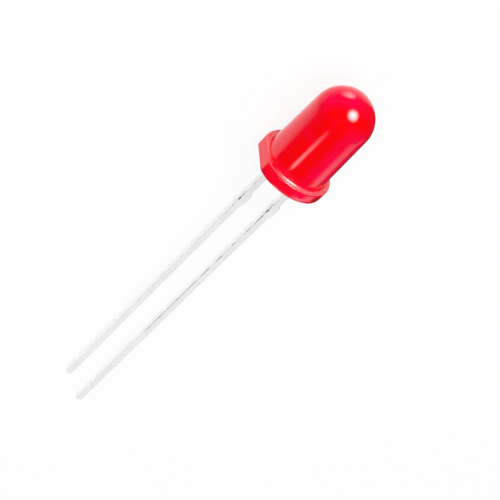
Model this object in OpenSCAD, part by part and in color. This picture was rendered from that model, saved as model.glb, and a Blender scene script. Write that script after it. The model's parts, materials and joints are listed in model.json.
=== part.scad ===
// A round through hole LED, 5 mm, with a diffused lens and two long leads.
// Each piece is drawn about the optical axis: +Z points out of the dome, z = 0 is the seating plane
// under the flange, and the leads' strip lies in the XZ plane with the cathode and the flat on +X.
// lie_down() then lays the whole LED on its flange's rim and its two lead ends, as it rests loose.

/* [Lens] */
// Diameter of the barrel where it leaves the flange
lens_d = 5; // [4.8:0.05:5.5]
// Height of the dome's top above the seating plane
lens_h = 8.55; // [7.8:0.05:9.5]
// Draft of the barrel in degrees, so that it leaves its mould
lens_draft = 1.4; // [0.2:0.1:2.5]

/* [Flange] */
// Diameter of the flange
flange_d = 6; // [5.9:0.05:6.6]
// Thickness of the flange
flange_t = 1; // [0.7:0.05:1.4]
// Rounding of the flange's upper edge
flange_edge_r = 0.14; // [0.06:0.01:0.2]
// Distance from the axis to the flat that marks the cathode
flat_x = 2.7; // [2.6:0.01:2.9]

/* [Leads] */
// Width of each lead across the strip
lead_w = 0.5; // [0.4:0.01:0.6]
// Thickness of the strip that the leads are stamped from
lead_t = 0.5; // [0.4:0.01:0.6]
// Distance between the two leads' centres
lead_pitch = 2.54; // [2.3:0.02:2.8]
// Length of the cathode lead below the seating plane
cathode_l = 28; // [15:0.5:29.5]
// Length of the anode lead below the seating plane
anode_l = 30.5; // [30:0.5:36]

/* [Tie bar stubs] */
// Distance from the seating plane down to the stubs
stub_drop = 3.3; // [2:0.1:6]
// Length of the stubs along the lead
stub_l = 1.35; // [0.6:0.05:2]
// How far the stubs stand out on each side of the lead
stub_out = 0.16; // [0.05:0.01:0.3]

/* [Anvil and cup] */
// Height of the cup's rim above the seating plane
cup_rim_z = 4.4; // [4:0.05:4.8]
// Diameter of the cup's mouth
cup_mouth_d = 1; // [0.86:0.02:1.1]
// Diameter of the cup's floor
cup_floor_d = 0.66; // [0.6:0.02:0.8]
// Depth of the cup
cup_depth = 0.35; // [0.3:0.01:0.5]
// Wall around the cup's mouth
cup_wall = 0.14; // [0.08:0.01:0.2]
// Height of the round head that the cup is pressed into
cup_head_h = 0.8; // [0.7:0.05:1.2]
// Height above the seating plane where the anvil's underside starts
anvil_z = 1.2; // [0.8:0.05:1.8]
// Height above the seating plane where the anvil's outer side starts to slope
anvil_top_z = 2.5; // [2:0.05:3]

/* [Bonding post] */
// Gap between the cup's head and the post
post_gap = 0.3; // [0.2:0.01:0.4]
// Height of the post's top above the cup's rim
post_rise = 0.15; // [0.05:0.01:0.3]
// Width of the post's head across the strip
post_head_w = 0.78; // [0.7:0.01:0.9]
// Height of the post's head
post_head_h = 0.9; // [0.6:0.05:1.3]
// Height above the seating plane of the barb that anchors the post
barb_z = 1.5; // [0.9:0.05:2]
// Length of the barb along the lead
barb_l = 0.6; // [0.3:0.05:0.9]
// How far the barb stands out
barb_out = 0.22; // [0.05:0.01:0.3]

/* [Die and wire] */
// Side of the square die
die_w = 0.34; // [0.2:0.01:0.38]
// Height of the die
die_h = 0.24; // [0.15:0.01:0.3]
// Diameter of the bed of silver epoxy under the die
attach_d = 0.56; // [0.55:0.01:0.59]
// Thickness of the bed of silver epoxy
attach_t = 0.03; // [0.02:0.005:0.05]
// Diameter of the gold wire
wire_d = 0.03; // [0.025:0.001:0.035]
// Height of the wire's arch above the line between its ends
wire_arch = 0.34; // [0.25:0.01:0.5]
// Diameter of the ball bond on the die
ball_d = 0.09; // [0.08:0.005:0.12]
// Thickness of the ball bond and of the stitch on the post
bond_t = 0.04; // [0.038:0.001:0.05]
// Side of the flattened stitch on the post
stitch_w = 0.12; // [0.1:0.01:0.16]

/* [Hidden] */
$fn = 96;

// How far a cutter runs past the face that it opens
past = 1;
// Angle between the points of the flange's rounded edge
edge_step = 15;

flange_r = flange_d / 2;
lens_r = lens_d / 2;

// The dome is a sphere that meets the tapered barrel without a step.
dome_r = (lens_r * cos(lens_draft) - (lens_h - flange_t) * sin(lens_draft)) / (1 - sin(lens_draft));
dome_z = lens_h - dome_r;
join_r = dome_r * cos(lens_draft);
join_z = dome_z + dome_r * sin(lens_draft);

// Where the leads' edges lie, and the round head with the cup
lead_x = lead_pitch / 2;
outer_x = lead_x + lead_w / 2;
inner_x = lead_x - lead_w / 2;
head_r = cup_mouth_d / 2 + cup_wall;
head_z = cup_rim_z - cup_head_h;
floor_z = cup_rim_z - cup_depth;

// The post stands beside the head, and its flat top takes the wire.
post_x = -head_r - post_gap;
post_top_z = cup_rim_z + post_rise;
post_head_z = post_top_z - post_head_h;

// What is stacked in the cup
die_z = floor_z + attach_t;
die_top_z = die_z + die_h;

// The wire is an arc of a circle in the XZ plane, from the ball to the stitch.
wire_from = [0, die_top_z + bond_t / 2];
wire_to = [post_x - post_head_w / 2, post_top_z + bond_t / 2];
wire_span = wire_to - wire_from;
wire_chord = norm(wire_span);
wire_r = (wire_chord * wire_chord / 4 + wire_arch * wire_arch) / (2 * wire_arch);
wire_up = [wire_span.y, -wire_span.x] / wire_chord;
wire_centre = (wire_from + wire_to) / 2 - wire_up * (wire_r - wire_arch);
wire_start = atan2(wire_from.y - wire_centre.y, wire_from.x - wire_centre.x);
wire_sweep = 2 * acos((wire_r - wire_arch) / wire_r);

// At rest the flange's lower rim and both leads' lowest corners touch the ground, with the strip nearly
// level. up is the vertical as the LED sees it: [-skew * slope, 1, slope] before it is made a unit vector.
// skew makes the two ends equally low, and slope, a root of a quadratic, makes the rim as low as they are.
skew = (anode_l - cathode_l) / lead_pitch;
reach = skew * outer_x + cathode_l;
rim_a = reach * reach - flange_r * flange_r * skew * skew;
rim_b = lead_t * reach;
rim_c = lead_t * lead_t / 4 - flange_r * flange_r;
slope = (sqrt(rim_b * rim_b - 4 * rim_a * rim_c) - rim_b) / (2 * rim_a);
rest_roll = -atan(skew * slope);
rest_tilt = atan2(slope, norm([1, skew * slope]));

// The ground's point under the middle of the LED's box is the origin.
front_x = dome_z * cos(rest_tilt) + dome_r;
tail_top = lead_t / 2 * cos(rest_roll) + outer_x * sin(-rest_roll);
back_x = -anode_l * cos(rest_tilt) - tail_top * sin(rest_tilt);
flat_side_y = flange_r * cos(acos(flat_x / flange_r) + rest_roll);
mid_x = (front_x + back_x) / 2;
mid_y = (flat_side_y - flange_r) / 2;
rest_z = flange_r * cos(rest_tilt);

module lie_down() {
    translate([-mid_x, -mid_y, rest_z])
        rotate([90 - rest_tilt, 0, 90])
            rotate([0, 0, rest_roll])
                children();
}

// Turns an outline in X and Z into a plate as thick as the strip, centred on the XZ plane.
module strip_plate() {
    rotate([90, 0, 0])
        linear_extrude(height = lead_t, center = true)
            children();
}

// The straight part of a lead with its stubs, from its free end up to a height inside the lens
module lead_outline(centre_x, free_l, top_z) {
    translate([centre_x - lead_w / 2, -free_l])
        square([lead_w, free_l + top_z]);
    translate([centre_x - lead_w / 2 - stub_out, -stub_drop - stub_l])
        square([lead_w + 2 * stub_out, stub_l]);
}

module anvil_outline() {
    polygon([
        [inner_x, anvil_z], [outer_x, anvil_z], [outer_x, anvil_top_z], [head_r, head_z],
        [head_r, cup_rim_z], [-head_r, cup_rim_z], [-head_r, head_z]
    ]);
}

module post_outline() {
    // The head that takes the wire
    translate([post_x - post_head_w, post_head_z])
        square([post_head_w, post_head_h]);
    // The barb, with its square side up, so that the lead can't be drawn out
    polygon([
        [-outer_x, barb_z - barb_l], [-lead_x, barb_z - barb_l],
        [-lead_x, barb_z], [-outer_x - barb_out, barb_z]
    ]);
}

module cathode_shape() {
    difference() {
        union() {
            strip_plate() lead_outline(lead_x, cathode_l, anvil_z);
            strip_plate() anvil_outline();
            translate([0, 0, head_z])
                cylinder(h = cup_head_h, r = head_r);
        }
        translate([0, 0, floor_z])
            cylinder(h = cup_depth, d1 = cup_floor_d, d2 = cup_mouth_d);
    }
}

module anode_shape() {
    strip_plate() {
        lead_outline(-lead_x, anode_l, post_head_z);
        post_outline();
    }
}

module attach_shape() {
    translate([0, 0, floor_z])
        cylinder(h = attach_t, d = attach_d);
}

module die_shape() {
    translate([-die_w / 2, -die_w / 2, die_z])
        cube([die_w, die_w, die_h]);
}

module wire_shape() {
    // The ball bond on the die
    translate([0, 0, die_top_z])
        cylinder(h = bond_t, d = ball_d);
    // The arch
    translate([wire_centre.x, 0, wire_centre.y])
        rotate([90, 0, 0])
            rotate([0, 0, wire_start])
                rotate_extrude(angle = wire_sweep)
                    translate([wire_r, 0])
                        circle(d = wire_d);
    // The stitch on the post
    translate([wire_to.x - stitch_w / 2, -stitch_w / 2, post_top_z])
        cube([stitch_w, stitch_w, bond_t]);
}

// The flange before its flat is cut, with a rounded upper edge
module flange_disc() {
    rotate_extrude()
        polygon([
            [0, 0], [flange_r, 0],
            for (a = [0 : edge_step : 90])
                [flange_r - flange_edge_r * (1 - cos(a)), flange_t - flange_edge_r * (1 - sin(a))],
            [0, flange_t]
        ]);
}

module flange() {
    difference() {
        flange_disc();
        translate([flat_x, -flange_r - past, -past])
            cube([flange_r, flange_d + 2 * past, flange_t + 2 * past]);
    }
}

module dome() {
    intersection() {
        translate([0, 0, dome_z])
            sphere(r = dome_r);
        translate([0, 0, join_z])
            cylinder(h = dome_r, r = lens_r);
    }
}

module lens_body() {
    color("red")
        lie_down()
            difference() {
                union() {
                    flange();
                    translate([0, 0, flange_t])
                        cylinder(h = join_z - flange_t, r1 = lens_r, r2 = join_r);
                    dome();
                }
                // The epoxy is cast around the pieces that it holds.
                cathode_shape();
                anode_shape();
                attach_shape();
                die_shape();
                wire_shape();
            }
}

module cathode_lead() {
    color("gainsboro") lie_down() cathode_shape();
}

module anode_lead() {
    color("gainsboro") lie_down() anode_shape();
}

module led_die() {
    color("dimgray") lie_down() die_shape();
}

module die_attach() {
    color("silver") lie_down() attach_shape();
}

module bond_wire() {
    color("gold") lie_down() wire_shape();
}

lens_body();
cathode_lead();
anode_lead();
led_die();
die_attach();
bond_wire();
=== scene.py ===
"""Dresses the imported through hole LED: the cast lens, the two tinned leads and what the lens hides.

Shapes are drawn in millimetres in the LED's own frame: +Z leaves the dome, z = 0 is the seating plane
under the flange, +X is the cathode's side with the flat, and +Y is the side that faces up at rest.
place() then takes them to the row frame, in metres. Angles about the axis run from +X towards +Y.
"""

import json
import math

import bmesh
import bpy
import numpy as np
from mathutils import Matrix, Quaternion, Vector, noise


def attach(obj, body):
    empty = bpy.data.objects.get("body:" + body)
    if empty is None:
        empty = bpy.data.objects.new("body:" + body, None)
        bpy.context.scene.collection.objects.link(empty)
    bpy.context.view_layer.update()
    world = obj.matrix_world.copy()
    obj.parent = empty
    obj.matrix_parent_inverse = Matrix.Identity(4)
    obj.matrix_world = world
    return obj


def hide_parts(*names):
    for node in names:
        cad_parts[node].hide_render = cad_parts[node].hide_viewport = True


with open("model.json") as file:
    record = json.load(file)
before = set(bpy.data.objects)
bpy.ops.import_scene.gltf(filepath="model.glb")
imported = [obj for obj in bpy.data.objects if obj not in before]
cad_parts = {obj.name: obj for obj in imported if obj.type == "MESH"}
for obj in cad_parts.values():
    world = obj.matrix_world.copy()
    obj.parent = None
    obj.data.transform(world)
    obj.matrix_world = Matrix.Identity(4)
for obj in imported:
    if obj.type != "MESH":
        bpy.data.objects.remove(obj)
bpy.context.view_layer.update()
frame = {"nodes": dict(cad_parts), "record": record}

MM = 0.001
MOUNTS = {m["name"]: m for m in frame["record"]["mounts"]}


# ---------------------------------------------------------------- The LED's own frame

def led_frame():
    """The matrix from the LED's frame in millimetres to the row frame in metres."""
    seat = MOUNTS["seating_plane"]
    cathode, anode = (Vector(MOUNTS[name]["pos_m"]) for name in ("cathode_lead_exit", "anode_lead_exit"))
    axis = -Vector(seat["axis"]).normalized()
    across = cathode - anode
    across = (across - axis * across.dot(axis)).normalized()
    up = axis.cross(across)
    turn = Matrix((across, up, axis)).transposed().to_4x4()
    return Matrix.Translation(Vector(seat["pos_m"])) @ turn @ Matrix.Scale(MM, 4)


LED = led_frame()


def led_points(node):
    """A CAD node's vertices in the LED's frame, in millimetres."""
    back = LED.inverted()
    return np.array([back @ v.co for v in frame["nodes"][node].data.vertices])


# ---------------------------------------------------------------- Sizes, in millimetres

LENS_POINTS = led_points("lens_body")
LENS_TOP = LENS_POINTS[:, 2].max()
FLAT_X = LENS_POINTS[:, 0].max()
# The fine lens stays this far inside the CAD lens
CAD_MARGIN = 0.006
FLANGE_R = MOUNTS["flange_rim"]["dims"]["r_mm"] - CAD_MARGIN
FLANGE_T = 1.0
BARREL_R = 2.5
DRAFT = math.radians(1.4)

# The dome is a sphere that meets the tapered barrel without a step
DOME_R = (BARREL_R * math.cos(DRAFT) - (LENS_TOP - FLANGE_T) * math.sin(DRAFT)) / (1 - math.sin(DRAFT))
DOME_Z = LENS_TOP - DOME_R - CAD_MARGIN
JOIN_Z = DOME_Z + DOME_R * math.sin(DRAFT)

# What the mould leaves on the flange: its rounded upper edge, which reaches in less on the flat, the blend
# of the flat's corners, and its lower edge, crisp or soft
UPPER_EDGE = 0.12
FLAT_EDGE = 0.07
CORNER_BLEND = 0.06
CRISP_EDGE = 0.02
SOFT_EDGE_IN = 0.13
SOFT_EDGE_UP = 0.5

# The fillet at the barrel's foot, which takes up at most a share of the ledge, and how far it sinks into it
LEDGE_FILLET = 0.29
LEDGE_FILLET_SHARE = 0.75
LEDGE_SINK = 0.06

# What the casting leaves on the underside: it is sunk in its middle, and drawn up beside each lead
UNDERSIDE_DIP = 0.05
MENISCUS_CLIMB = 0.2
MENISCUS_REACH = 0.14

# The leads outside the lens: the square strip with its rounded corners, the tie bar's stubs, on which the
# corners are rounder by a share, and the tip, whose slanted cut fades out up the lead
LEAD_X = 1.27
LEAD_HALF = 0.25
LEAD_EDGE = 0.04
OUTER_X = LEAD_X + LEAD_HALF
INNER_X = LEAD_X - LEAD_HALF
STUB_TOP = -3.3
STUB_L = 1.35
STUB_OUT = 0.16
STUB_SHOULDER = 0.3
STUB_ROUNDER = 0.6
TIP_RING_IN = 0.02
TIP_SLANT = 0.05
TIP_SLANT_FADES = 0.6

# The leads inside the lens: the anvil with its head and cup, and the bonding post with its barb
SQUARE_TOP = 1.25
PLATE_FOOT = 1.2
ANVIL_SHOULDER = 2.5
HEAD_R = 0.64
HEAD_H = 0.8
CUP_RIM_Z = 4.4
CUP_MOUTH_R = 0.5
CUP_FLOOR_R = 0.33
CUP_DEPTH = 0.35
POST_X = -0.94
POST_W = 0.78
POST_TOP = 4.55
POST_H = 0.9
BARB_LOW = 1.3
BARB_HIGH = 1.5
BARB_OUT = 0.22

# Instead of a single point on the axis, the dome and the cup have a ring as small as this
DOME_TIP_R = 0.004
CUP_AXIS_R = 0.001


# ---------------------------------------------------------------- Mesh helpers

def place(name, vertices, faces, marks):
    """An object from vertices in the LED's frame, which it also keeps in the attribute led_mm. Each of
    the marks is an attribute of one number for every vertex."""
    mesh = bpy.data.meshes.new(name)
    mesh.from_pydata([tuple(v) for v in vertices], [], faces)
    mesh.update()
    layer = mesh.attributes.new("led_mm", "FLOAT_VECTOR", "POINT")
    layer.data.foreach_set("vector", np.asarray(vertices, np.float32).ravel())
    for mark, values in marks.items():
        layer = mesh.attributes.new(mark, "FLOAT", "POINT")
        layer.data.foreach_set("value", np.asarray(values, np.float32))
    sides = bmesh.new()
    sides.from_mesh(mesh)
    bmesh.ops.recalc_face_normals(sides, faces=sides.faces)
    sides.to_mesh(mesh)
    sides.free()
    mesh.transform(LED)
    mesh.polygons.foreach_set("use_smooth", [True] * len(mesh.polygons))
    piece = bpy.data.objects.new(name, mesh)
    bpy.context.scene.collection.objects.link(piece)
    return piece


def band(first, second, count):
    """Faces between two closed rings of this many points, which start at these indices."""
    return [(first + i, first + (i + 1) % count, second + (i + 1) % count, second + i) for i in range(count)]


def tube(rings):
    """Vertices and faces of a tube through rings of equal length, closed by a face at each end."""
    count = len(rings[0])
    last = (len(rings) - 1) * count
    vertices = [tuple(point) for points in rings for point in points]
    faces = [face for start in range(0, last, count) for face in band(start, start + count, count)]
    faces += [tuple(range(count)), tuple(range(last, last + count))]
    return vertices, faces


def plate(outline):
    """A plate as thick as the strip, centred on the XZ plane."""
    count = len(outline)
    vertices = [(x, y, z) for y in (-LEAD_HALF, LEAD_HALF) for x, z in outline]
    faces = [tuple(range(count)), tuple(range(2 * count - 1, count - 1, -1)), *band(0, count, count)]
    return vertices, faces


def turned(profile, steps=48):
    """A body of revolution about the axis from a closed profile of radii and heights."""
    turns = [2 * math.pi * step / steps for step in range(steps)]
    vertices = [(r * math.cos(a), r * math.sin(a), z) for a in turns for r, z in profile]
    count = len(profile)
    starts = [step * count for step in range(steps)]
    faces = [face for a, b in zip(starts, starts[1:] + starts[:1]) for face in band(a, b, count)]
    return vertices, faces


def joined(first, second):
    """The vertices and faces of two shells as one."""
    offset = len(first[0])
    return [*first[0], *second[0]], [*first[1], *[tuple(offset + i for i in face) for face in second[1]]]


def arc(steps):
    """Angles of a quarter turn, both ends included."""
    return [math.pi / 2 * i / steps for i in range(steps + 1)]


def smooth(x):
    """0 below 0, 1 above 1, and an even S between."""
    x = np.minimum(np.maximum(x, 0.0), 1.0)
    return x * x * (3 - 2 * x)


# ---------------------------------------------------------------- The lens

# The angles of the lens's rings: even all round, and close beside the flat's two corners
EVEN_ANGLES = 240
FLAT_CORNER = math.acos(FLAT_X / FLANGE_R)
CORNER_STEPS = [math.radians(d) for d in (0, 0.15, 0.3, 0.5, 0.75, 1.1)]
AROUND = np.unique(np.concatenate(
    [np.linspace(-math.pi, math.pi, EVEN_ANGLES, endpoint=False)]
    + [[side * FLAT_CORNER + turn * step for step in CORNER_STEPS] for side in (-1, 1) for turn in (-1, 1)]
))
AROUND = AROUND[np.concatenate([[True], np.diff(AROUND) > 1e-6])]

# Between which angles from the flat's middle, in degrees, a mark of the mould sets in or fades out: the
# lower and upper edges' change of radius, the clear groove at the ledge's inner side, and the fillet's
# matt and glossy stretches
LOWER_EDGE_SOFTENS = (42, 62)
LOWER_EDGE_HALVES = (104, 124)
UPPER_EDGE_HALVES = (50, 62)
UPPER_EDGE_WHOLE = (80, 94)
GROOVE_DEEPENS = (14, 32)
GROOVE_ENDS = (36, 58)
MATT_FROM = (60, 72)
MATT_ENDS = (82, 96)
GLOSSY_FROM = (96, 112)
# How clear the groove is at least, and how much more or less of the fillet is frosted on those stretches
GROOVE_LEAST = 0.6
MATT_MORE = 0.35
GLOSSY_LESS = 0.5
# Where the frost sets in and is full over the flange's upper edge, and where it ends up the fillet and
# how long it takes to, as shares of the way
EDGE_FROST = (0.217, 0.633)
FILLET_FROST_ENDS = 2 / 3
FILLET_FROST_FADES = 0.303
# How far out the rings of the cast face lie, closest where the leads leave it
UNDERSIDE_SHARES = (*np.linspace(0.004, 0.2, 8), *np.linspace(0.22, 0.72, 46), *np.linspace(0.74, 1, 14))


def rising(start, end):
    """An even S from 0 to 1 between two angles from the flat's middle, in degrees, on both sides."""
    return smooth((np.degrees(np.abs(AROUND)) - start) / (end - start))


def flange_outline(round_inset, flat_inset):
    """The flange's radius at each angle, set in from its round side and from its flat, with its two
    corners blended. Past the flat's reach the cosine's limit keeps its line outside the round side."""
    round_r = np.full(len(AROUND), FLANGE_R - round_inset)
    flat_r = (FLAT_X - flat_inset) / np.maximum(np.cos(AROUND), 0.2)
    overlap = np.maximum(CORNER_BLEND - np.abs(round_r - flat_r), 0)
    return np.minimum(round_r, flat_r) - overlap ** 2 / (4 * CORNER_BLEND)


def lower_edge():
    """How far the flange's lower edge is rounded in and up at each angle: crisp by the flat, softest
    a quarter turn from it."""
    soft = rising(*LOWER_EDGE_SOFTENS) * (1 - 0.5 * rising(*LOWER_EDGE_HALVES))
    return CRISP_EDGE + (SOFT_EDGE_IN - CRISP_EDGE) * soft, CRISP_EDGE + (SOFT_EDGE_UP - CRISP_EDGE) * soft


def upper_edge():
    """The radius of the flange's upper edge at each angle, which is half as large for a stretch."""
    return UPPER_EDGE * (1 - 0.5 * rising(*UPPER_EDGE_HALVES) * (1 - rising(*UPPER_EDGE_WHOLE)))


def barrel_r(height):
    """The tapered barrel's radius at a height."""
    return BARREL_R - (height - FLANGE_T) * math.tan(DRAFT)


def ring(radii, heights):
    """Points around the axis at these radii and heights."""
    radii = np.broadcast_to(radii, AROUND.shape)
    heights = np.broadcast_to(heights, AROUND.shape)
    return np.stack([radii * np.cos(AROUND), radii * np.sin(AROUND), heights], axis=1)


def lead_distance(x, y):
    """How far a point of the underside is from the nearer lead's side."""
    past_x = np.abs(np.abs(x) - LEAD_X) - LEAD_HALF
    past_y = np.abs(y) - LEAD_HALF
    return np.hypot(np.maximum(past_x, 0), np.maximum(past_y, 0))


def underside(share, radii):
    """A ring of the cast face: sunk between the leads, level at its edge, and drawn up each lead."""
    points = ring(radii * share, 0)
    dip = UNDERSIDE_DIP * (1 - share ** 5)
    away = lead_distance(points[:, 0], points[:, 1]) / MENISCUS_REACH
    climb = (MENISCUS_CLIMB + dip) * np.exp(-away ** 1.3)
    points[:, 2] = dip - climb * (1 - share ** 20)
    return points


def underside_and_side():
    """Rings from the middle of the underside out to its edge and up the flange's side."""
    edge_in, edge_up = lower_edge()
    foot = flange_outline(edge_in, edge_in)
    for share in UNDERSIDE_SHARES:
        yield underside(share, foot), 0
    for a in arc(8)[1:]:
        inset = edge_in * (1 - math.sin(a))
        yield ring(flange_outline(inset, inset), edge_up * (1 - math.cos(a))), 0
    side_top = FLANGE_T - upper_edge()
    for share in (0.06, 0.5, 0.94):
        yield ring(flange_outline(0, 0), edge_up + (side_top - edge_up) * share), 0


def fillet_place():
    """The radius of the fillet at the barrel's foot, and the radius and height of its centre, at each
    angle. It is smaller at the flat, where the ledge is narrow."""
    brim = flange_outline(upper_edge(), FLAT_EDGE)
    fillet = np.minimum(LEDGE_FILLET, LEDGE_FILLET_SHARE * (brim - BARREL_R))
    centre_z = FLANGE_T + fillet * (1 - LEDGE_SINK / LEDGE_FILLET)
    centre_r = barrel_r(centre_z) + fillet / math.cos(DRAFT)
    return fillet, centre_r, centre_z


def edge_and_ledge():
    """Rings over the flange's upper edge, in along its ledge, and up the fillet to the barrel. All of it
    is frosted, but for a clear groove by the flat, and the frost gives out up the fillet."""
    edge = upper_edge()
    for a in arc(8):
        inset = 1 - math.cos(a)
        lift = edge * (1 - math.sin(a))
        frosted = smooth((inset - EDGE_FROST[0]) / (EDGE_FROST[1] - EDGE_FROST[0]))
        yield ring(flange_outline(edge * inset, FLAT_EDGE * inset), FLANGE_T - lift), frosted
    brim = flange_outline(edge, FLAT_EDGE)
    fillet, centre_r, centre_z = fillet_place()
    groove = (1 - rising(*GROOVE_ENDS)) * (GROOVE_LEAST + (1 - GROOVE_LEAST) * rising(*GROOVE_DEEPENS))
    for share in (0.04, 0.35, 0.65, 0.94):
        heights = FLANGE_T + (centre_z - fillet - FLANGE_T) * share
        yield ring(brim + (centre_r - brim) * share, heights), 1 - groove * smooth(share - 0.1)
    matt = MATT_MORE * rising(*MATT_FROM) * (1 - rising(*MATT_ENDS)) - GLOSSY_LESS * rising(*GLOSSY_FROM)
    for share in (*np.linspace(0, 0.92, 12), 0.96, 0.985, 1):
        a = share * (math.pi / 2 - DRAFT)
        left = (FILLET_FROST_ENDS - share) / FILLET_FROST_FADES + matt
        frosted = np.clip(left, 0, 1) * (1 - groove)
        yield ring(centre_r - fillet * math.sin(a), centre_z - fillet * math.cos(a)), frosted


def barrel_and_dome():
    """Rings from the fillet's top up the barrel and over the dome."""
    fillet, _, centre_z = fillet_place()
    foot_z = centre_z - fillet * math.sin(DRAFT)
    for share in (0.003, *np.linspace(0.06, 1, 15)):
        height = foot_z + (JOIN_Z - foot_z) * share
        yield ring(barrel_r(height), height), 0
    for a in np.linspace(DRAFT, math.pi / 2, 52)[1:]:
        yield ring(max(DOME_R * math.cos(a), DOME_TIP_R), DOME_Z + DOME_R * math.sin(a)), 0


def make_lens():
    """The lens in one skin. The attribute frost is the share of each point that is frosted."""
    rings = []
    frost = []
    for stretch in (underside_and_side(), edge_and_ledge(), barrel_and_dome()):
        for points, frosted in stretch:
            rings.append(points)
            frost.append(np.broadcast_to(frosted, AROUND.shape))
    vertices, faces = tube(rings)
    return place("cast_lens", vertices, faces, {"frost": np.concatenate(frost)})


# ---------------------------------------------------------------- The leads

# Where a dark reflection is painted in dashes on the edge between a lead's +X and +Y faces, as read
# along the leads in the photo: the middle of each mark, half its length and how dark it is
PAINTED_DARK_DASHES = {
    "cathode_lead": (
        (-2.15, 0.2, 0.18), (-3.7, 0.35, 0.26), (-4.07, 0.2, 0.85), (-4.9, 0.16, 0.36), (-5.8, 0.3, 0.24),
    ),
    "anode_lead": (
        (-3.68, 0.18, 0.3), (-4.11, 0.17, 0.8), (-4.93, 0.4, 0.4), (-5.5, 0.35, 0.33), (-6.45, 0.3, 0.33),
        (-8.27, 0.3, 0.38), (-10.05, 0.35, 0.4), (-10.55, 0.25, 0.34), (-12.1, 0.75, 0.34),
        (-13.6, 0.5, 0.28), (-15.8, 0.3, 0.4), (-17.0, 4.3, 0.28), (-18.5, 0.4, 0.34),
    ),
}
# How much of a mark's half length is evenly dark, before its ends
DARK_DASH_EVEN = 0.6
# Where each lead's unevenness starts in the noise that makes it
LEAD_SEEDS = {"cathode_lead": 3.7, "anode_lead": 11.3}
# The heights of a lead's sections: how far above the tip they start, how far apart they are and at least
# are, and how far from a stub's ends the close ones lie
STATION_START = 0.3
STATION_STEP = 0.22
STATION_LEAST = 0.007
STUB_STATIONS = (0, 0.01, 0.025, 0.045, 0.07, 0.1, 0.14)
# A section's corners, the steps round each, and where its sides have a point, as shares of half a side
CORNERS = ((1, 1), (-1, 1), (-1, -1), (1, -1))
CORNER_STEPS_EACH = 4
SIDE_SHARES = (0.92, 0, -0.92)
# How deep rolling dents a face, and from which share of a section's half width a point is on a face
ROLLED_DENT = 0.006
ON_FACE = 0.6
# How deep and how far in shearing tears a stub's end, and where the torn finish starts and is full, from
# the lead's plain side outwards
TORN_LEAST = 0.004
TORN_MORE = 0.007
TORN_IN = 0.05
TORN_STARTS = -0.02
TORN_FULL = 0.04


def dark_dash_share(node, z):
    """How dark the painted reflection is on the lead's edge at this height."""
    shares = []
    for middle, half, painted_dark in PAINTED_DARK_DASHES[node]:
        within = 1 - abs(z - middle) / half
        shares.append(painted_dark * smooth(within / (1 - DARK_DASH_EVEN)))
    return max(shares)


def section(half_w, half_t, radius):
    """A rectangle with rounded corners, with a point beside each corner and in the middle of each side."""
    inner_w = half_w - radius
    inner_t = half_t - radius
    points = []
    for quarter, (sx, sy) in enumerate(CORNERS):
        for step in range(CORNER_STEPS_EACH + 1):
            a = quarter * math.pi / 2 + math.pi / 2 * step / CORNER_STEPS_EACH
            points.append((sx * inner_w + radius * math.cos(a), sy * inner_t + radius * math.sin(a)))
        for share in SIDE_SHARES:
            if quarter % 2 == 0:
                points.append((sx * inner_w * share, sy * half_t))
            else:
                points.append((sx * half_w, sy * inner_t * share))
    return points


def stub_share(z):
    """1 where the tie bar's stubs stand out, 0 elsewhere, with a short shoulder at each end."""
    below_top = smooth((STUB_TOP + STUB_SHOULDER / 2 - z) / STUB_SHOULDER)
    above_end = smooth((z - STUB_TOP + STUB_L + STUB_SHOULDER / 2) / STUB_SHOULDER)
    return below_top * above_end


def lead_stations(tip):
    """Heights at which a lead gets a section: even along its length, close at the stubs' ends."""
    even = np.linspace(tip + STATION_START, SQUARE_TOP, int((SQUARE_TOP - tip) / STATION_STEP))
    ends = (STUB_TOP, STUB_TOP - STUB_L)
    close = [end + side * step for end in ends for side in (-1, 1) for step in STUB_STATIONS]
    heights = sorted([*even, *close])
    kept = heights[:1]
    for z in heights[1:]:
        if z - kept[-1] > STATION_LEAST:
            kept.append(z)
    return kept


def lead_ring(centre_x, z, inset, seed, slant):
    """One section of a lead. Rolling leaves its faces a few micrometres uneven, always inwards, and the
    stubs' ends are torn where the tie bar was sheared off. The slant lifts the section on its -Y side."""
    stub = stub_share(z)
    half_w = LEAD_HALF + STUB_OUT * stub - inset
    half_t = LEAD_HALF - inset
    points = []
    for x, y in section(half_w, half_t, LEAD_EDGE * (1 + STUB_ROUNDER * stub)):
        dent = ROLLED_DENT * abs(noise.noise(Vector((x * 3 + seed, y * 3, z * 0.9))))
        x -= math.copysign(dent, x) if abs(x) > half_w * ON_FACE else 0
        y -= math.copysign(dent, y) if abs(y) > half_t * ON_FACE else 0
        if stub > 0.5 and abs(x) > half_w - TORN_IN:
            rough = abs(noise.noise(Vector((z * 6, y * 9, seed))))
            torn = smooth((TORN_IN - y) / (2 * TORN_IN)) * (TORN_LEAST + TORN_MORE * rough)
            x -= math.copysign(torn, x)
        points.append((centre_x + x, y, z + slant * (LEAD_HALF - y) / (2 * LEAD_HALF)))
    return points


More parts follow.
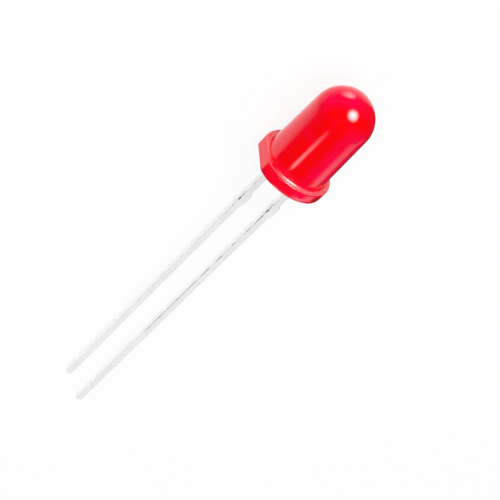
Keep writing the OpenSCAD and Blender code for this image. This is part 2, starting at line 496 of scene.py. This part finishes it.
def make_lead(name, node, side, inside):
    """A lead from its cut end to where it passes into the lens, joined to its shape inside. The attribute
    cut is 1 where a face was cut and not rolled, and a second attribute is how dark the painted reflection is
    on one edge."""
    tip = led_points(node)[:, 2].min()
    centre_x = side * LEAD_X
    seed = LEAD_SEEDS[node]
    rings = [lead_ring(centre_x, tip, LEAD_EDGE + TIP_RING_IN, seed, TIP_SLANT)]
    cut = [1]
    for a in arc(4):
        height = tip + LEAD_EDGE * (1 - math.cos(a))
        rings.append(lead_ring(centre_x, height, LEAD_EDGE * (1 - math.sin(a)), seed, TIP_SLANT))
        cut.append(max(1 - a, 0))
    for z in lead_stations(tip):
        slant = TIP_SLANT * smooth(1 - (z - tip) / TIP_SLANT_FADES)
        rings.append(lead_ring(centre_x, z, 0, seed, slant))
        cut.append(0)
    shell = tube(rings)
    outside = shell[0]
    cut = np.repeat(cut, len(rings[0]))
    past_side = [abs(x - centre_x) - LEAD_HALF for x, _, _ in outside]
    torn = [stub_share(z) * smooth((past - TORN_STARTS) / (TORN_FULL - TORN_STARTS))
            for past, (_, _, z) in zip(past_side, outside)]
    # How dark the reflection painted on one edge is at each point
    dark_dash = [dark_dash_share(node, z) for _, _, z in outside]
    vertices, faces = joined(shell, inside)
    hidden = np.zeros(len(vertices) - len(outside))
    marks = {"cut": np.concatenate([np.maximum(cut, torn), hidden]), "dark_dash": np.concatenate([dark_dash, hidden])}
    return place(name, vertices, faces, marks)


def anvil_and_cup():
    """The wide anvil with its round head, and the reflector cup pressed into that."""
    head_z = CUP_RIM_Z - HEAD_H
    floor_z = CUP_RIM_Z - CUP_DEPTH
    anvil = plate([
        (INNER_X, PLATE_FOOT), (OUTER_X, PLATE_FOOT), (OUTER_X, ANVIL_SHOULDER), (HEAD_R, head_z),
        (HEAD_R, CUP_RIM_Z), (CUP_MOUTH_R, CUP_RIM_Z), (CUP_FLOOR_R, floor_z), (-CUP_FLOOR_R, floor_z),
        (-CUP_MOUTH_R, CUP_RIM_Z), (-HEAD_R, CUP_RIM_Z), (-HEAD_R, head_z),
    ])
    head = turned([
        (CUP_AXIS_R, head_z), (HEAD_R, head_z), (HEAD_R, CUP_RIM_Z), (CUP_MOUTH_R, CUP_RIM_Z),
        (CUP_FLOOR_R, floor_z), (CUP_AXIS_R, floor_z),
    ])
    return joined(anvil, head)


def bonding_post():
    """The post that the wire is bonded to, with the barb that holds the lead in the epoxy."""
    foot = POST_TOP - POST_H
    return plate([
        (-OUTER_X, PLATE_FOOT), (-INNER_X, PLATE_FOOT), (-INNER_X, foot), (POST_X, foot), (POST_X, POST_TOP),
        (POST_X - POST_W, POST_TOP), (POST_X - POST_W, foot), (-OUTER_X, foot), (-OUTER_X, BARB_HIGH),
        (-OUTER_X - BARB_OUT, BARB_HIGH), (-OUTER_X, BARB_LOW),
    ])


# ---------------------------------------------------------------- Nodes

class Nodes:
    """The nodes of a material, a lamp or the world, and short ways to add more."""

    def __init__(self, owner):
        owner.use_nodes = True
        self.nodes = owner.node_tree.nodes
        self.links = owner.node_tree.links

    def add(self, kind, **settings):
        node = self.nodes.new(kind)
        for key, value in settings.items():
            setattr(node, key, value)
        return node

    def feed(self, source, target):
        """Links a node's output to an input, or sets the input where the source is a number."""
        if isinstance(source, (int, float)):
            target.default_value = source
        else:
            self.links.new(source, target)

    def attribute(self, name, output):
        return self.add("ShaderNodeAttribute", attribute_name=name).outputs[output]

    def stretch(self, vector, scale):
        mapping = self.add("ShaderNodeMapping")
        mapping.inputs["Scale"].default_value = scale
        self.feed(vector, mapping.inputs["Vector"])
        return mapping.outputs["Vector"]

    def grain(self, vector, scale, detail=3.0):
        texture = self.add("ShaderNodeTexNoise")
        texture.inputs["Scale"].default_value = scale
        texture.inputs["Detail"].default_value = detail
        self.feed(vector, texture.inputs["Vector"])
        return texture.outputs["Fac"]

    def span(self, value, low, high, out_low=0.0, out_high=1.0):
        """Takes low to out_low and high to out_high, with an even S between."""
        node = self.add("ShaderNodeMapRange", interpolation_type="SMOOTHSTEP")
        ends = {"From Min": low, "From Max": high, "To Min": out_low, "To Max": out_high}
        for socket, number in ends.items():
            node.inputs[socket].default_value = number
        self.feed(value, node.inputs["Value"])
        return node.outputs["Result"]

    def combine(self, operation, first, second):
        node = self.add("ShaderNodeMath", operation=operation)
        self.feed(first, node.inputs[0])
        self.feed(second, node.inputs[1])
        return node.outputs["Value"]

    def from_vector(self, operation, vector, other=(0, 0, 0), output="Value"):
        """What an operation makes of a vector and a fixed one, such as the distance between them."""
        node = self.add("ShaderNodeVectorMath", operation=operation)
        self.feed(vector, node.inputs[0])
        node.inputs[1].default_value = other
        return node.outputs[output]

    def mix(self, share, first, second):
        """A number between two others."""
        node = self.add("ShaderNodeMix")
        for name, value in (("Factor", share), ("A", first), ("B", second)):
            self.feed(value, node.inputs[name])
        return node.outputs["Result"]

    def near_any(self, vector, centres, start, end):
        """1 within start of any of these points, down to 0 at end from all of them."""
        nearest = 0
        for centre in centres:
            share = self.span(self.from_vector("DISTANCE", vector, centre), end, start)
            nearest = self.combine("MAXIMUM", nearest, share)
        return nearest

    def blend(self, share, first, second):
        """A colour between two others."""
        node = self.add("ShaderNodeMix", data_type="RGBA")
        self.feed(share, node.inputs["Factor"])
        sockets = [s for s in node.inputs if s.type == "RGBA"]
        for socket, value in zip(sockets, (first, second)):
            if isinstance(value, tuple):
                socket.default_value = (*value, 1.0)
            else:
                self.feed(value, socket)
        return [s for s in node.outputs if s.type == "RGBA"][0]

    def bump(self, height, depth, under=None):
        """A normal raised by up to this depth in metres, on top of another bump if there is one."""
        node = self.add("ShaderNodeBump")
        node.inputs["Distance"].default_value = depth
        self.feed(height, node.inputs["Height"])
        if under is not None:
            self.feed(under, node.inputs["Normal"])
        return node.outputs["Normal"]


# ---------------------------------------------------------------- Materials

def surface_material(name):
    """A new material, its nodes and its Principled surface."""
    material = bpy.data.materials.new(name)
    s = Nodes(material)
    return material, s, s.nodes["Principled BSDF"]


def around(angle, radius, *heights):
    """Points at an angle about the axis in degrees, and at a radius and heights in millimetres."""
    a = math.radians(angle)
    return [(radius * math.cos(a), radius * math.sin(a), height) for height in heights]


# Where the red is deepest and least pink, and the least and greatest distance over which that fades, in
# millimetres
DEEP_SPOTS = [
    *around(40, 2.45, 2.0, 3.0, 3.9), *around(42, 2.4, 5.5, 6.3), *around(34, 2.1, 7.2),
    *around(49, 1.84, 7.5), *around(70, 2.45, 2.2, 3.2, 4.2), *around(69, 2.4, 5.2, 6.2),
    *around(66, 2.2, 7.0), *around(90, 1.8, 7.7), *around(112, 1.8, 7.7),
]
DEEP_REACH = (0.25, 1.0)
# Where a pinker sheen is painted on, as pale light mirrored in the lens would give, and the same two
# distances
PAINTED_SHEEN_SPOTS = [
    *around(-3, 1.9, 7.7), *around(12, 0.8, 8.4), *around(99, 2.99, 0.4), *around(109, 2.43, 2.6, 4.4, 6.0),
]
PAINTED_SHEEN_REACH = (0.3, 1.6)
# Where shade is painted onto the flange's rim, and the same two distances
PAINTED_SHADE_SPOTS = [*around(32, 3.05, -0.15), *around(123, 3.0, 0.55)]
PAINTED_SHADE_REACH = (0.0, 0.8)
# Where a paler highlight is painted onto the frosted ledge, and the same two distances
PAINTED_GLEAM_SPOTS = [*around(-13, 2.7, 1.0), *around(2, 2.65, 1.0), *around(68, 2.8, 1.0)]
PAINTED_GLEAM_REACH = (0.1, 0.8)

EPOXY_RED = (0.95, 0.0006, 0.027)
EPOXY_DEEP = (0.92, 0.0003, 0.0025)
EPOXY_PAINTED_SHEEN = (1.0, 0.001, 0.06)
EPOXY_PAINTED_SHADE = (0.6, 0.0006, 0.03)
EPOXY_SPECK = (0.98, 0.01, 0.02)
EPOXY_FROST = (0.93, 0.17, 0.195)
EPOXY_PAINTED_GLEAM = (0.94, 0.31, 0.3)
EPOXY_IOR = 1.57
# How much of the light scatters inside, how far red, green and blue go, as shares of the scale in metres,
# and the depth in metres of the mould's ripple and of the etch on the frosted ledge
EPOXY_SCATTER = 0.6
EPOXY_SCATTER_RADII = (1.0, 0.08, 0.08)
EPOXY_SCATTER_SCALE = 0.0006
EPOXY_RIPPLE = 1.5e-6
EPOXY_ETCH = 0.9e-6


def red_epoxy():
    """Red epoxy with a milky diffusant: polished where the mould is, frosted on the flange's ledge."""
    material, s, surface = surface_material("red_epoxy_diffused")
    place_mm = s.attribute("led_mm", "Vector")
    frost = s.attribute("frost", "Fac")
    cloud = s.span(s.grain(place_mm, 0.7), 0.35, 0.65, 0.0, 0.3)
    deep = s.near_any(place_mm, DEEP_SPOTS, *DEEP_REACH)
    body = s.blend(s.combine("MAXIMUM", cloud, deep), EPOXY_RED, EPOXY_DEEP)
    # A pinker sheen painted on, in place of pale light mirrored in the lens
    body = s.blend(s.near_any(place_mm, PAINTED_SHEEN_SPOTS, *PAINTED_SHEEN_REACH), body, EPOXY_PAINTED_SHEEN)
    # Painted shade on the flange's rim
    body = s.blend(s.near_any(place_mm, PAINTED_SHADE_SPOTS, *PAINTED_SHADE_REACH), body, EPOXY_PAINTED_SHADE)
    speck = s.span(s.grain(place_mm, 9.0, 2.0), 0.62, 0.7, 0.0, 0.25)
    body = s.blend(speck, body, EPOXY_SPECK)
    haze = s.combine("MULTIPLY", frost, s.span(s.grain(place_mm, 14.0, 4.0), 0.3, 0.7, 0.85, 1.0))
    # The frost's colour, with a paler highlight painted onto the ledge
    frosted = s.blend(s.near_any(place_mm, PAINTED_GLEAM_SPOTS, *PAINTED_GLEAM_REACH), EPOXY_FROST, EPOXY_PAINTED_GLEAM)
    s.feed(s.blend(haze, body, frosted), surface.inputs["Base Color"])
    polish = s.span(s.grain(place_mm, 2.2, 4.0), 0.3, 0.7, 0.03, 0.045)
    s.feed(s.combine("ADD", polish, s.combine("MULTIPLY", haze, 0.28)), surface.inputs["Roughness"])
    ripple = s.bump(s.grain(place_mm, 0.9, 2.0), EPOXY_RIPPLE)
    etched = s.combine("MULTIPLY", s.grain(place_mm, 26.0), s.combine("ADD", 0.06, haze))
    s.feed(s.bump(etched, EPOXY_ETCH, ripple), surface.inputs["Normal"])
    surface.inputs["IOR"].default_value = EPOXY_IOR
    surface.inputs["Subsurface Weight"].default_value = EPOXY_SCATTER
    surface.inputs["Subsurface Radius"].default_value = EPOXY_SCATTER_RADII
    surface.inputs["Subsurface Scale"].default_value = EPOXY_SCATTER_SCALE
    return material


TIN_DULL = (0.84, 0.84, 0.845)
TIN_BRIGHT = (0.87, 0.87, 0.87)
CUT_STEEL = (0.95, 0.95, 0.945)
PAINTED_DARK_REFLECTION = (0.03, 0.03, 0.032)
TIN_METALLIC = 0.9
# The depth in metres of the drawn strokes and of the pits
TIN_STROKES = 1.5e-6
TIN_PITS = 0.5e-6
# How fast a painted dark mark ends beside the lead's edge, as a share of it for each millimetre
DARK_DASH_FALL = 14.0


def tinned_steel():
    """Steel strip under a dipped tin coat: satin, drawn lengthwise, rougher where it was cut, and with
    a dark reflection painted in dashes along one edge."""
    material, s, surface = surface_material("tinned_steel")
    place_mm = s.attribute("led_mm", "Vector")
    drawn = s.grain(s.stretch(place_mm, (9.0, 9.0, 0.35)), 1.6, 5.0)
    tin = s.blend(s.span(s.grain(place_mm, 1.3), 0.35, 0.65), TIN_DULL, TIN_BRIGHT)
    tear = s.span(s.grain(place_mm, 11.0), 0.35, 0.6, 0.35, 1.0)
    torn = s.combine("MULTIPLY", s.attribute("cut", "Fac"), tear)
    # A dark reflection painted in dashes along one edge, fading away from it
    ends_on = s.stretch(place_mm, (1, 1, 0))
    corners = [s.from_vector("DISTANCE", ends_on, (x, LEAD_HALF, 0)) for x in (OUTER_X, -INNER_X)]
    from_edge = s.combine("SUBTRACT", s.combine("MINIMUM", *corners), LEAD_EDGE * (math.sqrt(2) - 1))
    dash_grain = s.span(s.grain(place_mm, 7.0, 2.0), 0.35, 0.5, 0.8, 1.0)
    dark_dash = s.combine("MULTIPLY", s.attribute("dark_dash", "Fac"), dash_grain)
    painted_dark = s.span(s.combine("SUBTRACT", dark_dash, s.combine("MULTIPLY", from_edge, DARK_DASH_FALL)), 0.0, 0.25)
    tin = s.blend(torn, tin, CUT_STEEL)
    s.feed(s.blend(painted_dark, tin, PAINTED_DARK_REFLECTION), surface.inputs["Base Color"])
    satin = s.span(drawn, 0.3, 0.7, 0.32, 0.48)
    s.feed(s.combine("ADD", satin, s.combine("MULTIPLY", torn, 0.1)), surface.inputs["Roughness"])
    strokes = s.bump(drawn, TIN_STROKES)
    s.feed(s.bump(s.grain(place_mm, 17.0), TIN_PITS, strokes), surface.inputs["Normal"])
    surface.inputs["Metallic"].default_value = TIN_METALLIC
    return material


def inner_finish(name, low, high, scale, metallic, rough):
    """A finish for a piece that the lens hides: two tones in a grain of this scale per metre."""
    material, s, surface = surface_material(name)
    place_m = s.add("ShaderNodeTexCoord").outputs["Object"]
    grain = s.grain(place_m, scale, 4.0)
    s.feed(s.blend(s.span(grain, 0.35, 0.65), low, high), surface.inputs["Base Color"])
    s.feed(s.span(grain, 0.3, 0.7, rough, rough + 0.12), surface.inputs["Roughness"])
    s.feed(s.bump(grain, 2e-6), surface.inputs["Normal"])
    surface.inputs["Metallic"].default_value = metallic
    return material


# ---------------------------------------------------------------- Camera

# The rounded result of a fit to the photo's edges, in degrees, and in metres in the row frame
CAMERA_AZIMUTH = 45.746
CAMERA_ELEVATION = 42.143
CAMERA_ROLL = 165.134
CAMERA_DISTANCE = 0.1405
CAMERA_AIM = Vector((0.00295, -0.00208, 0.003))
CAMERA_LENS_MM = 134.92
CAMERA_SENSOR_MM = 36
CAMERA_SEES = (0.01, 10)


def direction(azimuth, elevation):
    """The unit vector towards an azimuth and an elevation in degrees, in the row frame."""
    a = math.radians(azimuth)
    e = math.radians(elevation)
    return Vector((math.cos(e) * math.cos(a), math.cos(e) * math.sin(a), math.sin(e)))


def make_camera():
    data = bpy.data.cameras.new("camera")
    camera = bpy.data.objects.new("camera", data)
    bpy.context.scene.collection.objects.link(camera)
    back = direction(CAMERA_AZIMUTH, CAMERA_ELEVATION)
    camera.location = CAMERA_AIM + back * CAMERA_DISTANCE
    roll = Quaternion((0, 0, 1), math.radians(CAMERA_ROLL))
    camera.rotation_mode = "QUATERNION"
    camera.rotation_quaternion = (-back).to_track_quat("-Z", "Y") @ roll
    data.lens = CAMERA_LENS_MM
    data.sensor_width = CAMERA_SENSOR_MM
    data.clip_start, data.clip_end = CAMERA_SEES
    bpy.context.scene.camera = camera
    return camera


# ---------------------------------------------------------------- Lamps

# Distances in metres, and the fades of every softbox
UP = Vector((0, 0, 1))
ROUND_DISTANCE = 0.6
STRIP_DISTANCE = 0.06
SOFTBOX_FADES = (0.7, 0.7, 0.7)


def spot(angle, height, radius, slope):
    """A point of the lens and its outward normal, in the row frame, from an angle about the axis in
    degrees, a height and a radius in millimetres, and the normal's slope."""
    a = math.radians(angle)
    point = Vector((radius * math.cos(a), radius * math.sin(a), height))
    normal = Vector((math.cos(slope) * math.cos(a), math.cos(slope) * math.sin(a), math.sin(slope)))
    return LED @ point, (LED.to_3x3() @ normal).normalized()


def barrel_spot(angle, height):
    """A spot of the barrel, or of the cone that carries it on past its ends."""
    return spot(angle, height, barrel_r(height), DRAFT)


def dome_spot(angle, height):
    slope = math.asin((height - DOME_Z) / DOME_R)
    return spot(angle, height, DOME_R * math.cos(slope), slope)


def mirrored_place(camera, point, normal, distance):
    """Where a lamp stands, at a distance, for this spot of the lens to mirror it into the camera."""
    ray = (point - camera.location).normalized()
    return point + ray.reflect(normal) * distance


def area_lamp(name, shape, centre, away, along, size, luminance):
    """A lamp that shines from this centre back along away, and whose height runs along along. Its energy
    is its luminance times its area and pi. The camera doesn't see it."""
    data = bpy.data.lights.new(name, "AREA")
    data.shape = shape
    data.size, data.size_y = size
    data.energy = luminance * data.size * data.size_y * math.pi * (math.pi / 4 if shape == "ELLIPSE" else 1)
    lamp = bpy.data.objects.new(name, data)
    lamp.visible_camera = False
    bpy.context.scene.collection.objects.link(lamp)
    y_axis = (along - away * along.dot(away)).normalized()
    turn = Matrix((y_axis.cross(away), y_axis, away)).transposed().to_4x4()
    lamp.matrix_world = Matrix.Translation(centre) @ turn
    return lamp


def glow_nodes(lamp):
    """A lamp's nodes, and a vector that runs from -0.5 to 0.5 across it."""
    glow = Nodes(lamp.data)
    parametric = glow.add("ShaderNodeNewGeometry").outputs["Parametric"]
    return glow, glow.from_vector("SUBTRACT", parametric, (0.5, 0.5, 0), "Vector")


def round_lamp(name, camera, angle, height, half_angle, luminance, full_share):
    """A round lamp that the dome mirrors at this angle and height, and that only gloss shows. From there
    it reaches this many degrees to each side, and it fades out from this share of that."""
    point, normal = dome_spot(angle, height)
    centre = mirrored_place(camera, point, normal, ROUND_DISTANCE)
    width = 2 * ROUND_DISTANCE * math.tan(math.radians(half_angle))
    lamp = area_lamp(name, "ELLIPSE", centre, (centre - point).normalized(), UP, (width, width), luminance)
    lamp.visible_diffuse = False
    glow, middle = glow_nodes(lamp)
    fading = glow.span(glow.from_vector("LENGTH", middle), full_share / 2, 0.5, 1, 0)
    glow.feed(fading, glow.nodes["Emission"].inputs["Strength"])
    return lamp


def panel_lamp(name, centre, away, along, size, luminance, fades, lean=0.0):
    """A rectangular lamp that fades out towards its edges. The fades are the shares of its half width,
    low half and high half that are left at full glow, where a negative share starts the fade in the
    other half. The low and high ends rise across its width by the lean, as a share of the height."""
    width, height = size
    lamp = area_lamp(name, "RECTANGLE", centre, away, along, (width, height * (1 + abs(lean))), luminance)
    glow, middle = glow_nodes(lamp)
    wide, low, high = (share / 2 for share in fades)
    across = glow.from_vector("DOT_PRODUCT", middle, (1, 0, 0))
    up = glow.from_vector("DOT_PRODUCT", middle, (-lean, 1 + abs(lean), 0))
    edges = ((across, -wide, -0.5), (across, wide, 0.5), (up, -low, -0.5), (up, high, 0.5))
    fading = 1
    for distance, start, end in edges:
        fading = glow.combine("MULTIPLY", fading, glow.span(distance, start, end, 1, 0))
    glow.feed(fading, glow.nodes["Emission"].inputs["Strength"])
    return lamp


def strip_lamp(name, camera, angles, heights, luminance, fades):
    """A strip whose mirror image covers these angles and heights of the barrel. What would be mirrored
    past the barrel's ends shows small in the dome's foot and, from about 3 mm below the seating plane,
    in the flange's side."""
    mid_angle = sum(angles) / 2
    mid_height = sum(heights) / 2

    def seen(angle, height):
        return mirrored_place(camera, *barrel_spot(angle, height), STRIP_DISTANCE)

    centre = seen(mid_angle, mid_height)
    away = (centre - barrel_spot(mid_angle, mid_height)[0]).normalized()
    along = seen(mid_angle, heights[1]) - seen(mid_angle, heights[0])
    across = seen(angles[1], mid_height) - seen(angles[0], mid_height)
    lean = across.dot(along) / along.length_squared
    across -= along * lean
    lean *= math.copysign(1, across.dot(along.cross(away)))
    return panel_lamp(name, centre, away, along, (across.length, along.length), luminance, fades, lean)


def wide_lamp(name, azimuth, elevation, distance, size, luminance):
    """A softbox of this width and height, aimed at the lens."""
    away = direction(azimuth, elevation)
    centre = LED @ Vector((0, 0, LENS_TOP / 2)) + away * distance
    return panel_lamp(name, centre, away, UP, size, luminance, SOFTBOX_FADES)


def light_only(lamps, pieces):
    """Keeps the light of these lamps to these pieces."""
    for lamp in lamps:
        lamp.light_linking.receiver_collection = bpy.data.collections.new(lamp.name + "_receivers")
        for piece in pieces:
            lamp.light_linking.receiver_collection.objects.link(piece)


# The angles and heights at which the dome mirrors its round lamps. The key's was solved for, so that its
# image falls on the photo's bright spot.
KEY_SPOT = {"angle": 69.9, "height": 7.91}
TAIL_SPOT = {"angle": 117.0, "height": 6.53}


def make_lamps(camera, lens, leads):
    """The lamps, named by what they do: the key and its bulb make the dome's bright spot, the strips make
    the streak and the band on the barrel and the light on the flange's rim, the tail carries the band on
    over the dome's foot, the card is what the lens mirrors on its far side, the fill lights everything
    but shows in no gloss, and the last two are what the metal mirrors."""
    round_lamp("key_lamp", camera, **KEY_SPOT, half_angle=24.0, luminance=17.0, full_share=0.2)
    round_lamp("key_bulb", camera, **KEY_SPOT, half_angle=5.5, luminance=130.0, full_share=0.3)
    on_lens = [
        round_lamp("tail_lamp", camera, **TAIL_SPOT, half_angle=10.8, luminance=0.42, full_share=0.0),
        strip_lamp("streak_lamp", camera, angles=(50.2, 60.4), heights=(2.0, 6.9), luminance=3.9,
                   fades=(0.05, 0.97, -0.75)),
        strip_lamp("band_lamp", camera, angles=(95.7, 121.7), heights=(-6.0, 10.5), luminance=0.9,
                   fades=(0.1, 0.74, -0.03)),
        strip_lamp("rim_lamp", camera, angles=(80.0, 114.0), heights=(-20.0, -2.6), luminance=0.9,
                   fades=(0.3, 0.9, 0.6)),
        wide_lamp("back_card", azimuth=-168, elevation=16, distance=0.4, size=(0.6, 0.24), luminance=0.8),
    ]
    fill_lamp = wide_lamp("fill_lamp", azimuth=28, elevation=52, distance=0.5, size=(0.5, 0.5), luminance=3.4)
    fill_lamp.visible_glossy = False
    on_leads = [
        wide_lamp("metal_lamp", azimuth=180, elevation=43, distance=0.4, size=(1.0, 1.0), luminance=0.9),
        wide_lamp("far_metal_lamp", azimuth=36, elevation=30, distance=0.4, size=(0.5, 0.4), luminance=0.95),
    ]
    light_only(on_lens, [lens])
    light_only(on_leads, leads)


# ---------------------------------------------------------------- World and floor

FILL = 0.5
GLOSS_DARK = 0.03
FLOOR_HALF = 3.0
FLOOR_WHITE = 0.92
SHADOWLESS_SHARE = 0.9
# What gloss shows of the floor, read off the reflections in the photo: a white card round the LED, and a
# gleam that no lamp casts. The camera sees neither. The card's edges are given by a direction and, in
# metres along it, where the white is gone and where it is full.
CARD_LEVEL = 1.08
CARD_EDGES = (((0.615, 0.788), 0.017, 0.0115), ((0, 1), -0.008, -0.0046), ((1, 0), 0.027, 0.02))
GLEAM_LEVEL = 5.0
GLEAM_PLACE = (0.025, 0.0014)
GLEAM_HALF = (0.0047, 0.003)


def make_world():
    """Even fill light from a pale room. Its gloss is dim, so that the lamps draw the highlights."""
    world = bpy.data.worlds.new("studio")
    bpy.context.scene.world = world
    s = Nodes(world)
    path = s.add("ShaderNodeLightPath").outputs
    seen = s.combine("MAXIMUM", path["Is Camera Ray"], path["Is Transmission Ray"])
    level = s.mix(seen, s.mix(path["Is Glossy Ray"], FILL, GLOSS_DARK), 1)
    s.feed(level, s.nodes["Background"].inputs["Strength"])
    s.nodes["Background"].inputs["Color"].default_value = (1, 1, 1, 1)


def mirrored_floor(s):
    """The floor as gloss shows it: the white card and the gleam."""
    place_m = s.add("ShaderNodeTexCoord").outputs["Object"]
    card = CARD_LEVEL
    for towards, gone, full in CARD_EDGES:
        distance = s.from_vector("DOT_PRODUCT", place_m, (*towards, 0))
        card = s.combine("MULTIPLY", card, s.span(distance, gone, full))
    off = s.from_vector("SUBTRACT", place_m, (*GLEAM_PLACE, 0), "Vector")
    off = s.stretch(off, (1 / GLEAM_HALF[0], 1 / GLEAM_HALF[1], 0))
    gleam = s.span(s.from_vector("LENGTH", off), 1.0, 0.1, GLOSS_DARK, GLEAM_LEVEL)
    shader = s.add("ShaderNodeEmission")
    s.feed(s.combine("ADD", card, gleam), shader.inputs["Strength"])
    return shader.outputs[0]


def make_floor():
    """A white floor. To the camera it is mostly its own white, so that the shadow on it stays light. In
    gloss and metal it is as white only round the LED, dark beyond, and has a gleam drawn on it."""
    corners = [(x * FLOOR_HALF, y * FLOOR_HALF, 0) for x, y in ((-1, -1), (1, -1), (1, 1), (-1, 1))]
    mesh = bpy.data.meshes.new("floor")
    mesh.from_pydata(corners, [], [(0, 1, 2, 3)])
    floor = bpy.data.objects.new("floor", mesh)
    bpy.context.scene.collection.objects.link(floor)
    material = bpy.data.materials.new("white_card")
    s = Nodes(material)
    s.nodes.remove(s.nodes["Principled BSDF"])
    diffuse = s.add("ShaderNodeBsdfDiffuse")
    diffuse.inputs["Color"].default_value = (FLOOR_WHITE, FLOOR_WHITE, FLOOR_WHITE, 1)
    white = s.add("ShaderNodeEmission")
    path = s.add("ShaderNodeLightPath").outputs
    seen = s.combine("MAXIMUM", path["Is Camera Ray"], path["Is Transmission Ray"])

    def mix(share, first, second):
        node = s.add("ShaderNodeMixShader")
        for socket, source in zip(node.inputs, (share, first, second)):
            s.feed(source, socket)
        return node.outputs[0]

    shown = mix(s.combine("MULTIPLY", seen, SHADOWLESS_SHARE), diffuse.outputs[0], white.outputs[0])
    surface = mix(path["Is Glossy Ray"], shown, mirrored_floor(s))
    s.feed(surface, s.nodes["Material Output"].inputs["Surface"])
    mesh.materials.append(material)


# ---------------------------------------------------------------- The scene

def dress(piece, material, node):
    """Gives a new piece its material, and lets it stand for a CAD node."""
    piece.data.materials.append(material)
    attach(piece, "root")
    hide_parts(node)
    return piece


def refinish(node, material):
    """Gives a CAD node a new material."""
    mesh = frame["nodes"][node].data
    mesh.materials.clear()
    mesh.materials.append(material)


# What the lens hides: the finish of each node
INNER_FINISHES = {
    "led_die": {
        "name": "die_face", "low": (0.05, 0.05, 0.06), "high": (0.2, 0.18, 0.16),
        "scale": 9000.0, "metallic": 0.2, "rough": 0.25,
    },
    "die_attach": {
        "name": "silver_flake_epoxy", "low": (0.5, 0.5, 0.5), "high": (0.85, 0.85, 0.84),
        "scale": 30000.0, "metallic": 0.8, "rough": 0.4,
    },
    "bond_wire": {
        "name": "gold_wire", "low": (0.85, 0.55, 0.18), "high": (1.0, 0.72, 0.3),
        "scale": 20000.0, "metallic": 1.0, "rough": 0.18,
    },
}

tin = tinned_steel()
lens = dress(make_lens(), red_epoxy(), "lens_body")
cathode_lead = make_lead("cathode_lead_tinned", "cathode_lead", 1, anvil_and_cup())
anode_lead = make_lead("anode_lead_tinned", "anode_lead", -1, bonding_post())
dress(cathode_lead, tin, "cathode_lead")
dress(anode_lead, tin, "anode_lead")
for node, finish in INNER_FINISHES.items():
    refinish(node, inner_finish(**finish))

camera = make_camera()
make_world()
make_floor()
make_lamps(camera, lens, [cathode_lead, anode_lead])
bpy.context.scene.view_settings.view_transform = "Standard"
